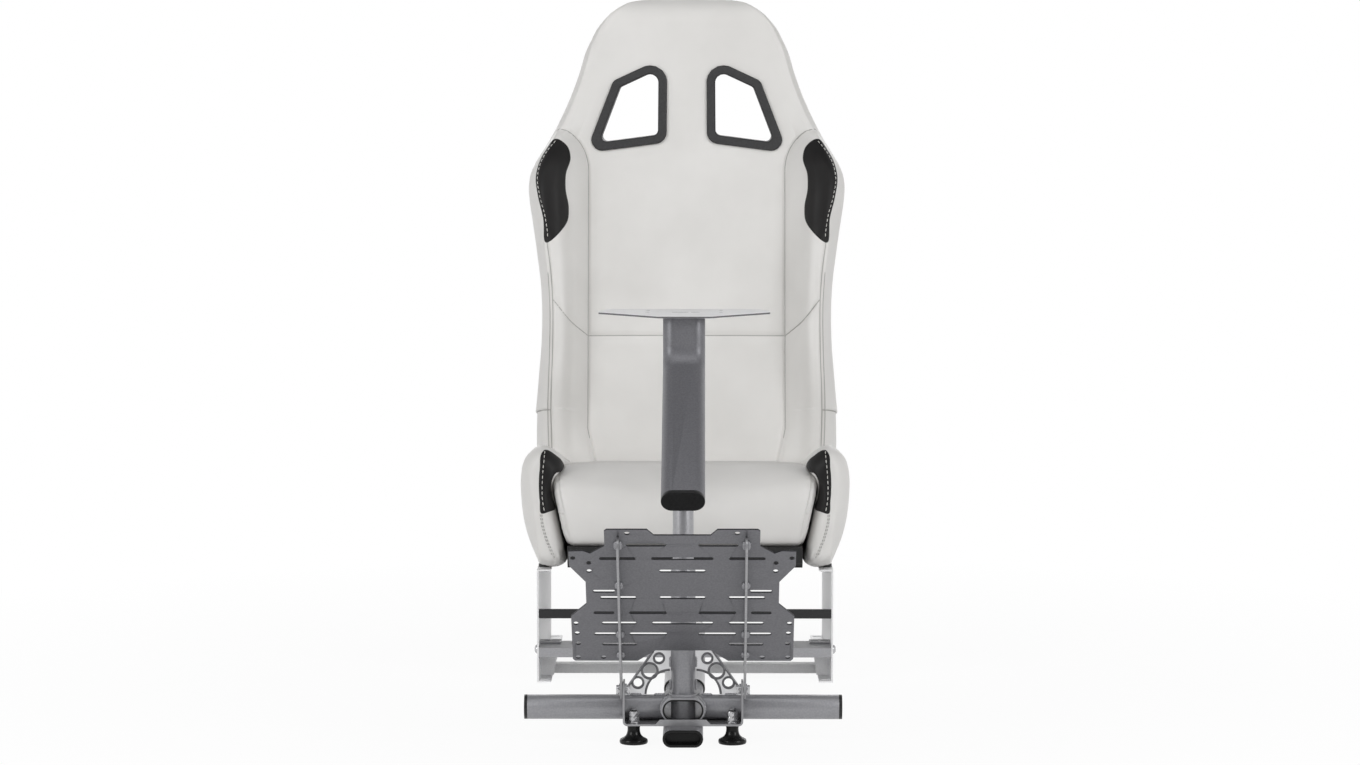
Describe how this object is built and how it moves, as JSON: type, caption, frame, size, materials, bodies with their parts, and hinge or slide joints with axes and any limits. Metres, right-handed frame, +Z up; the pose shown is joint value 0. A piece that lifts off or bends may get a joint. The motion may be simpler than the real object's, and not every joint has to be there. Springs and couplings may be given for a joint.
{
  "type": "racing simulator seat",
  "caption": "Padded bucket seat on an open steel frame with a height-adjustable wheel column and a tilting slotted pedal plate for driving games.",
  "frame": {"origin": "middle of the floor outline", "axes": "+Z up, +Y from the pedals towards the backrest, +X to the right when facing the seat"},
  "size_m": [0.491, 1.2892, 0.976],
  "materials": {
    "leatherette": "soft satin",
    "grey_paint": "satin",
    "zinc": "satin",
    "black_plastic": "matte",
    "dark_trim": "matte",
    "black_paint": "satin"
  },
  "bodies": {
    "seat_frame": {"spine_tube": "grey_paint", "spine_collar": "black_plastic", "side_plate_left": "grey_paint", "side_plate_right": "grey_paint", "front_beam": "grey_paint", "rear_beam": "grey_paint", "spine_blocks": "grey_paint", "corner_tabs": "grey_paint", "brace_bar": "black_paint", "floor_bars": "grey_paint", "frame_bolts": "zinc", "seat_spacers": "black_plastic", "seat_bolts": "zinc", "seat_pan": "black_plastic", "seat_cushion": "leatherette", "cushion_bolster_left": "leatherette", "cushion_bolster_right": "leatherette", "backrest_pad": "leatherette", "backrest_bolster_left": "leatherette", "backrest_bolster_right": "leatherette", "harness_trim_left": "dark_trim", "harness_trim_right": "dark_trim"},
    "front_frame": {"front_spine": "grey_paint", "front_spine_plug": "black_plastic", "pedal_bracket": "grey_paint", "post_saddle": "grey_paint", "lower_post": "grey_paint", "cross_tube_left": "grey_paint", "cross_tube_right": "grey_paint", "cross_tube_cap_left": "black_plastic", "cross_tube_cap_right": "black_plastic", "gusset_left": "grey_paint", "gusset_right": "grey_paint", "levelling_foot_left": "black_plastic", "levelling_foot_right": "black_plastic", "foot_nuts": "zinc", "pedal_bolts": "zinc"},
    "pedal_deck": {"pedal_arm_left": "zinc", "pedal_arm_right": "zinc", "pedal_plate": "grey_paint"},
    "wheel_column": {"column_stem": "grey_paint", "column_tube": "grey_paint", "column_cap": "black_plastic", "wheel_plate": "grey_paint"}
  },
  "joints": [
    {"name": "reach_slide", "type": "slide", "parent": "seat_frame", "child": "front_frame", "axis": [0, -1, 0], "range_m": [-0.06, 0.1]},
    {"name": "pedal_tilt", "type": "hinge", "parent": "front_frame", "child": "pedal_deck", "pos_m": [0, -0.42805, 0.07], "axis": [-1, 0, 0], "range_deg": [-12, 8]},
    {"name": "column_height", "type": "slide", "parent": "front_frame", "child": "wheel_column", "axis": [0, 0, 1], "range_m": [-0.05, 0.08]}
  ]
}
